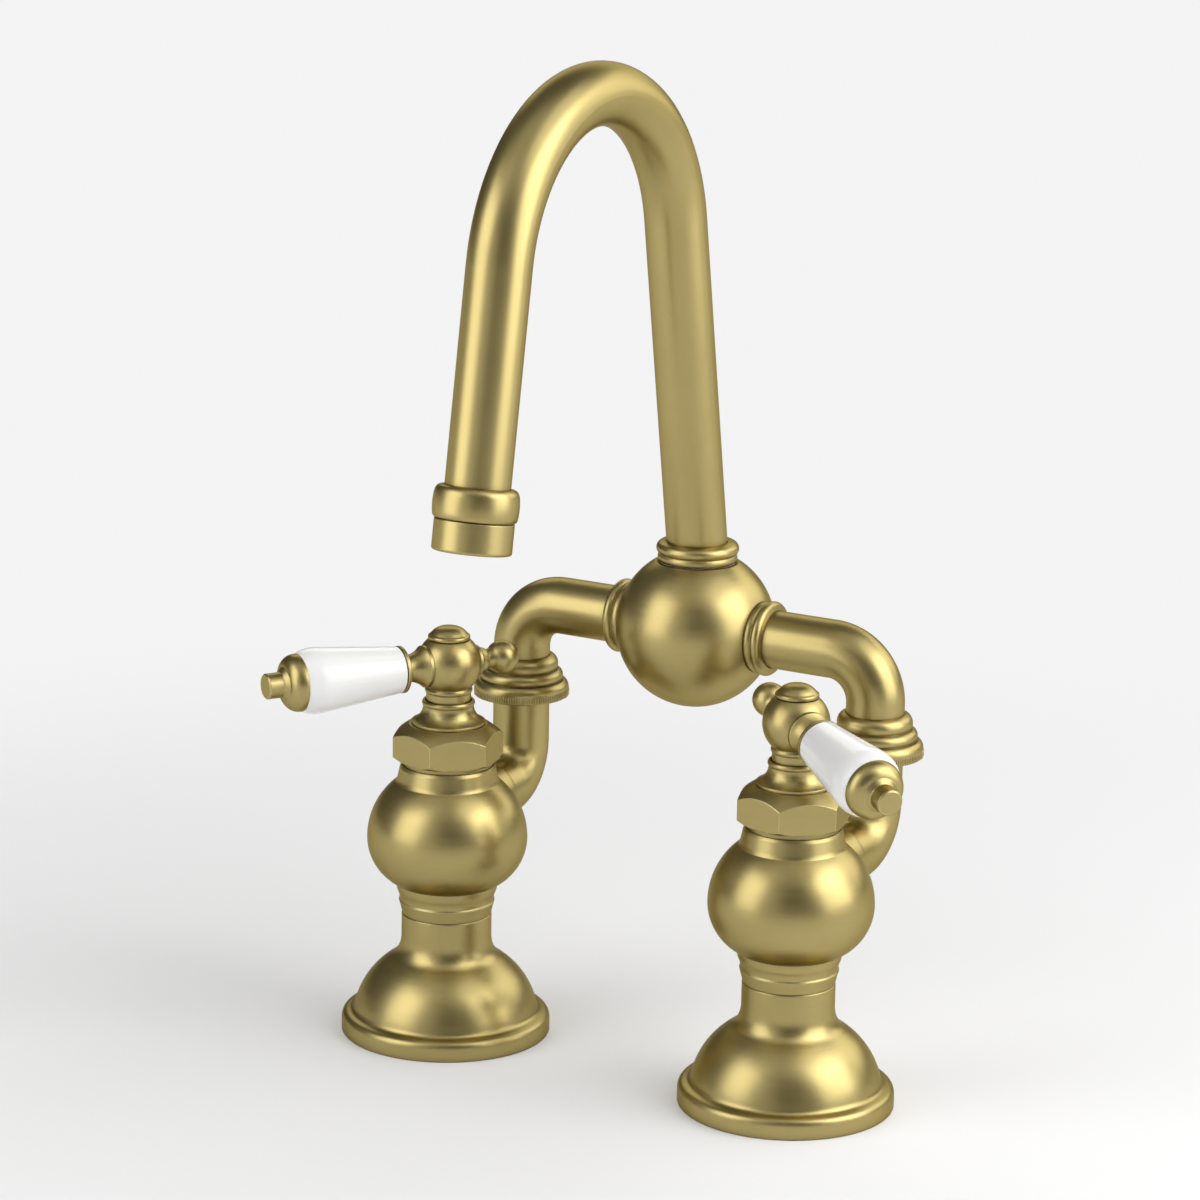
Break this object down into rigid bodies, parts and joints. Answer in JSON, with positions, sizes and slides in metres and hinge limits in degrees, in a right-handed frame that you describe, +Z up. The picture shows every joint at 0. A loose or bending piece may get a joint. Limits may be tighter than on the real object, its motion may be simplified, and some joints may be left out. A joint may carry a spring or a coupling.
{
  "type": "bridge bathroom faucet",
  "caption": "Deck-mounted bridge basin faucet with a swivelling gooseneck spout and quarter-turn porcelain lever handles.",
  "frame": {"origin": "on the deck, midway between the axes of the two posts", "axes": "+X from the left post to the right post, -Y towards the user, +Z up along the posts"},
  "size_m": [0.1748, 0.1424, 0.2615],
  "materials": {
    "brushed_brass": "fine brushed satin brass",
    "white_porcelain": "white glaze, glossy",
    "black_rubber": "matt black rubber",
    "valve_ceramic": "lapped alumina",
    "white_nylon": "moulded white plastic",
    "red_fibre": "vulcanised fibre",
    "steel": "stainless steel"
  },
  "bodies": {
    "fixed_body": {"base_gaskets": "black_rubber", "center_ball": "brushed_brass", "left_base_flange": "brushed_brass", "left_bonnet_bell": "brushed_brass", "left_bonnet_nut": "brushed_brass", "left_bridge_elbow": "brushed_brass", "left_cartridge_housing": "brushed_brass", "left_elbow_collar": "brushed_brass", "left_fixed_disc": "valve_ceramic", "left_port_collar": "brushed_brass", "left_seat_seal": "black_rubber", "left_side_tube": "brushed_brass", "left_union_nut": "brushed_brass", "left_union_spigot": "brushed_brass", "left_valve_body": "brushed_brass", "right_base_flange": "brushed_brass", "right_bonnet_bell": "brushed_brass", "right_bonnet_nut": "brushed_brass", "right_bridge_elbow": "brushed_brass", "right_cartridge_housing": "brushed_brass", "right_elbow_collar": "brushed_brass", "right_fixed_disc": "valve_ceramic", "right_port_collar": "brushed_brass", "right_seat_seal": "black_rubber", "right_side_tube": "brushed_brass", "right_union_nut": "brushed_brass", "right_union_spigot": "brushed_brass", "right_valve_body": "brushed_brass", "spindle_o_rings": "black_rubber", "spout_glide_ring": "white_nylon", "spout_stop_screw": "steel", "union_washers": "red_fibre"},
    "left_lever": {"left_valve_spindle": "brushed_brass", "left_moving_disc": "valve_ceramic", "left_lever_hub": "brushed_brass", "left_hub_screw": "steel", "left_hub_cap": "brushed_brass", "left_lever_arm": "brushed_brass", "left_lever_grip": "white_porcelain", "left_grip_finial": "brushed_brass", "left_counter_ball": "brushed_brass"},
    "right_lever": {"right_valve_spindle": "brushed_brass", "right_moving_disc": "valve_ceramic", "right_lever_hub": "brushed_brass", "right_hub_screw": "steel", "right_hub_cap": "brushed_brass", "right_lever_arm": "brushed_brass", "right_lever_grip": "white_porcelain", "right_grip_finial": "brushed_brass", "right_counter_ball": "brushed_brass"},
    "spout": {"spout_stem": "brushed_brass", "spout_tube": "brushed_brass", "spout_collar": "brushed_brass", "spout_o_rings": "black_rubber", "outlet_collar": "brushed_brass", "aerator_housing": "brushed_brass", "aerator_insert": "white_nylon", "aerator_washer": "black_rubber"}
  },
  "joints": [
    {"name": "left_valve", "type": "hinge", "parent": "fixed_body", "child": "left_lever", "pos_m": [-0.0508, 0, 0.0998], "axis": [0, 0, 1], "range_deg": [-58, 32]},
    {"name": "right_valve", "type": "hinge", "parent": "fixed_body", "child": "right_lever", "pos_m": [0.0508, 0, 0.0998], "axis": [0, 0, -1], "range_deg": [-36.5, 53.5]},
    {"name": "spout_swivel", "type": "hinge", "parent": "fixed_body", "child": "spout", "pos_m": [0, 0.0402, 0.1222], "axis": [0, 0, 1], "range_deg": [-90, 90]}
  ]
}
